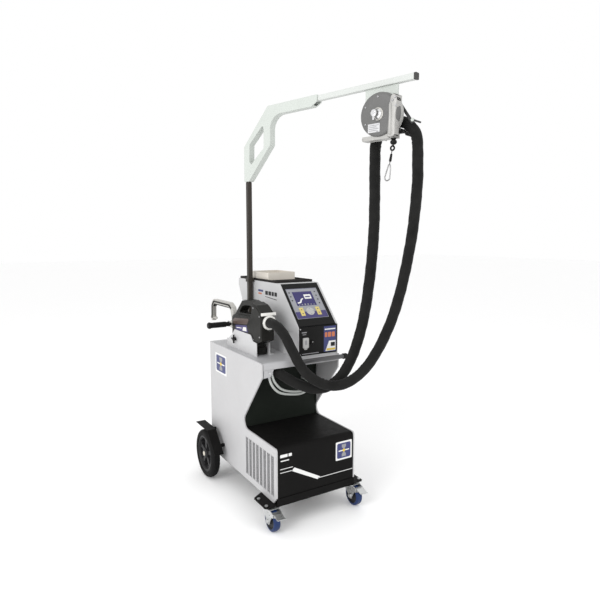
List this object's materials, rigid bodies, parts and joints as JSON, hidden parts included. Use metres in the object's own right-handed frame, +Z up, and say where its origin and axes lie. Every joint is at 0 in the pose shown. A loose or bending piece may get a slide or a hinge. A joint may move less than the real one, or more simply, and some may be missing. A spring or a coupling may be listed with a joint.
{
  "type": "spot welder",
  "caption": "Mobile spot welder on a sheet-metal cart with a control box, a swivelling boom with a spring balancer, and a C-arm gun on a heavy looped hose.",
  "frame": {"origin": "middle of the footprint's bounding box, on the floor", "axes": "+Z up; the operator's front with the bench and control panel faces -Y; +X is the cart's right-hand side seen from the operator, with the gun on the left at -X"},
  "size_m": [0.6115, 1.2614, 1.9685],
  "materials": {
    "shell_grey": "satin powder coat",
    "cart_black": "fine-texture powder coat",
    "mast_black": "satin paint",
    "boom_grey": "satin powder coat",
    "zinc": "zinc plated",
    "steel": "turned and brushed",
    "chrome": "polished",
    "pale_metal": "cast, lightly brushed",
    "balancer_grey": "painted casting",
    "tyre_black": "matt rubber",
    "tread_blue": "blue elastic tread",
    "rim_grey": "moulded",
    "moulded_black": "moulded, fine texture",
    "moulded_grey": "moulded",
    "keypad": "printed membrane",
    "key_yellow": "moulded keys",
    "screen": "clear window over a display",
    "gun_black": "textured moulding",
    "trigger_cream": "moulded",
    "rubber_black": "ribbed rubber",
    "tray_pale": "moulded",
    "hose_black": "woven textile sleeve",
    "tube_grey": "flexible tube",
    "copper_block": "machined",
    "tank_white": "translucent moulding"
  },
  "bodies": {
    "cart": {"alcove_wall": "cart_black", "bench_cover": "cart_black", "box_shell": "shell_grey", "card_module": "moulded_grey", "caster_plates": "zinc", "chassis_tray": "cart_black", "coolant_tube_a": "tube_grey", "coolant_tube_b": "tube_grey", "coolant_unit": "tank_white", "deck_plate": "shell_grey", "display_window": "screen", "front_frame": "moulded_black", "front_rail": "chrome", "gun_arm": "pale_metal", "gun_body": "gun_black", "gun_grip": "moulded_black", "gun_holder": "shell_grey", "hose_gun_strand": "hose_black", "hose_machine_strand": "hose_black", "keypad_overlay": "keypad", "post": "mast_black", "power_module": "copper_block", "rear_axle": "steel", "rear_bezel": "cart_black", "rear_panel": "shell_grey", "side_panel_left": "shell_grey", "side_panel_right": "shell_grey", "top_mat": "rubber_black", "wheel_guards": "cart_black"},
    "wheel_left": {"wheel_rim_left": "rim_grey", "wheel_tyre_left": "tyre_black"},
    "wheel_right": {"wheel_rim_right": "rim_grey", "wheel_tyre_right": "tyre_black"},
    "caster_left": {"caster_fork_left": "zinc"},
    "caster_right": {"caster_fork_right": "zinc"},
    "caster_wheel_left": {"caster_wheel_left": "tread_blue"},
    "caster_wheel_right": {"caster_wheel_right": "tread_blue"},
    "pedal_left": {"brake_pedal_left": "zinc"},
    "pedal_right": {"brake_pedal_right": "zinc"},
    "boom": {"boom_head": "boom_grey", "boom_tube": "boom_grey", "hanger_bracket": "boom_grey", "balancer_housing": "balancer_grey", "hose_arch": "hose_black", "balancer_rope": "steel"},
    "drum": {"cable_drum": "copper_block"},
    "tension": {"tension_knob": "chrome"},
    "hook": {"hook_swivel": "moulded_black", "carabiner": "zinc"},
    "gate": {"carabiner_gate": "zinc"},
    "nav": {"nav_button": "moulded_grey"},
    "key_left": {"rocker_key_left": "key_yellow"},
    "key_right": {"rocker_key_right": "key_yellow"},
    "dial": {"front_knob": "moulded_black"},
    "switch": {"main_switch": "moulded_black"},
    "fan": {"fan_rotor": "moulded_black"},
    "trigger": {"gun_trigger": "trigger_cream"},
    "piston": {"gun_piston": "chrome"},
    "clamp": {"clamp_screw": "moulded_black"},
    "tray": {"parts_tray": "tray_pale"}
  },
  "joints": [
    {"name": "wheel_spin_left", "type": "hinge", "parent": "cart", "child": "wheel_left", "pos_m": [-0.28141, 0.39071, 0.13], "axis": [1, 0, 0], "continuous": true},
    {"name": "caster_swivel_left", "type": "hinge", "parent": "cart", "child": "caster_left", "pos_m": [-0.23941, -0.24429, 0.108], "axis": [0, 0, 1], "continuous": true},
    {"name": "caster_spin_left", "type": "hinge", "parent": "caster_left", "child": "caster_wheel_left", "pos_m": [-0.23941, -0.28429, 0.05], "axis": [1, 0, 0], "continuous": true},
    {"name": "brake_left", "type": "hinge", "parent": "caster_left", "child": "pedal_left", "pos_m": [-0.23941, -0.32229, 0.09], "axis": [1, 0, 0], "range_deg": [0, 15]},
    {"name": "wheel_spin_right", "type": "hinge", "parent": "cart", "child": "wheel_right", "pos_m": [0.2586, 0.39071, 0.13], "axis": [1, 0, 0], "continuous": true},
    {"name": "caster_swivel_right", "type": "hinge", "parent": "cart", "child": "caster_right", "pos_m": [0.2166, -0.24429, 0.108], "axis": [0, 0, 1], "continuous": true},
    {"name": "caster_spin_right", "type": "hinge", "parent": "caster_right", "child": "caster_wheel_right", "pos_m": [0.2166, -0.28429, 0.05], "axis": [1, 0, 0], "continuous": true},
    {"name": "brake_right", "type": "hinge", "parent": "caster_right", "child": "pedal_right", "pos_m": [0.2166, -0.32229, 0.09], "axis": [1, 0, 0], "range_deg": [0, 15]},
    {"name": "boom_swivel", "type": "hinge", "parent": "cart", "child": "boom", "pos_m": [-0.04441, 0.32471, 1.64], "axis": [0, 0, -1], "range_deg": [-12, 20]},
    {"name": "hook_pull", "type": "slide", "parent": "boom", "child": "hook", "axis": [0, 0, -1], "range_m": [0, 0.42], "stiffness_N_per_m": 20, "springref_m": -0.5, "deforming": ["balancer_rope"]},
    {"name": "drum_turn", "type": "hinge", "parent": "boom", "child": "drum", "pos_m": [0.17542, -0.49692, 1.817], "axis": [0.9563, 0.2924, 0], "range_deg": [0, 389]},
    {"name": "tension_turn", "type": "hinge", "parent": "boom", "child": "tension", "pos_m": [0.14195, -0.50716, 1.817], "axis": [-0.9563, -0.2924, 0], "continuous": true},
    {"name": "gate_open", "type": "hinge", "parent": "hook", "child": "gate", "pos_m": [0.18531, -0.54638, 1.59289], "axis": [0.9563, 0.2924, 0], "range_deg": [0, 20], "stiffness_Nm_per_rad": 0.03, "springref_deg": -11.46},
    {"name": "nav_press", "type": "slide", "parent": "cart", "child": "nav", "axis": [0, 0.7382, -0.6745], "range_m": [0, 0.0015], "stiffness_N_per_m": 400, "springref_m": -0.002},
    {"name": "key_rock_left", "type": "hinge", "parent": "cart", "child": "key_left", "pos_m": [0.0356, -0.08989, 0.95037], "axis": [1, 0, 0], "range_deg": [-3, 3], "stiffness_Nm_per_rad": 0.4},
    {"name": "key_rock_right", "type": "hinge", "parent": "cart", "child": "key_right", "pos_m": [0.12959, -0.08989, 0.95037], "axis": [1, 0, 0], "range_deg": [-3, 3], "stiffness_Nm_per_rad": 0.4},
    {"name": "dial_turn", "type": "hinge", "parent": "cart", "child": "dial", "pos_m": [0.0506, -0.15029, 0.808], "axis": [0, -1, 0], "range_deg": [-135, 135]},
    {"name": "main_switch_turn", "type": "hinge", "parent": "cart", "child": "switch", "pos_m": [0.04859, 0.47271, 0.88], "axis": [0, 1, 0], "range_deg": [0, 90]},
    {"name": "fan_spin", "type": "hinge", "parent": "cart", "child": "fan", "pos_m": [0.08859, 0.39071, 0.56], "axis": [0, 1, 0], "continuous": true},
    {"name": "trigger_pull", "type": "hinge", "parent": "cart", "child": "trigger", "pos_m": [-0.14341, 0.06571, 0.956], "axis": [-1, 0, 0], "range_deg": [0, 7], "stiffness_Nm_per_rad": 0.5, "springref_deg": -17.19},
    {"name": "electrode_stroke", "type": "slide", "parent": "cart", "child": "piston", "axis": [0, 1, 0], "range_m": [0, 0.04]},
    {"name": "clamp_turn", "type": "hinge", "parent": "cart", "child": "clamp", "pos_m": [-0.1954, 0.21271, 0.79], "axis": [1, 0, 0], "continuous": true},
    {"name": "tray_lift", "type": "slide", "parent": "cart", "child": "tray", "axis": [0, 0, 1], "range_m": [0, 0.06]}
  ],
  "couplings": [
    {"joint": "drum_turn", "follows": "hook_pull", "rad_per_m": 16.129}
  ]
}
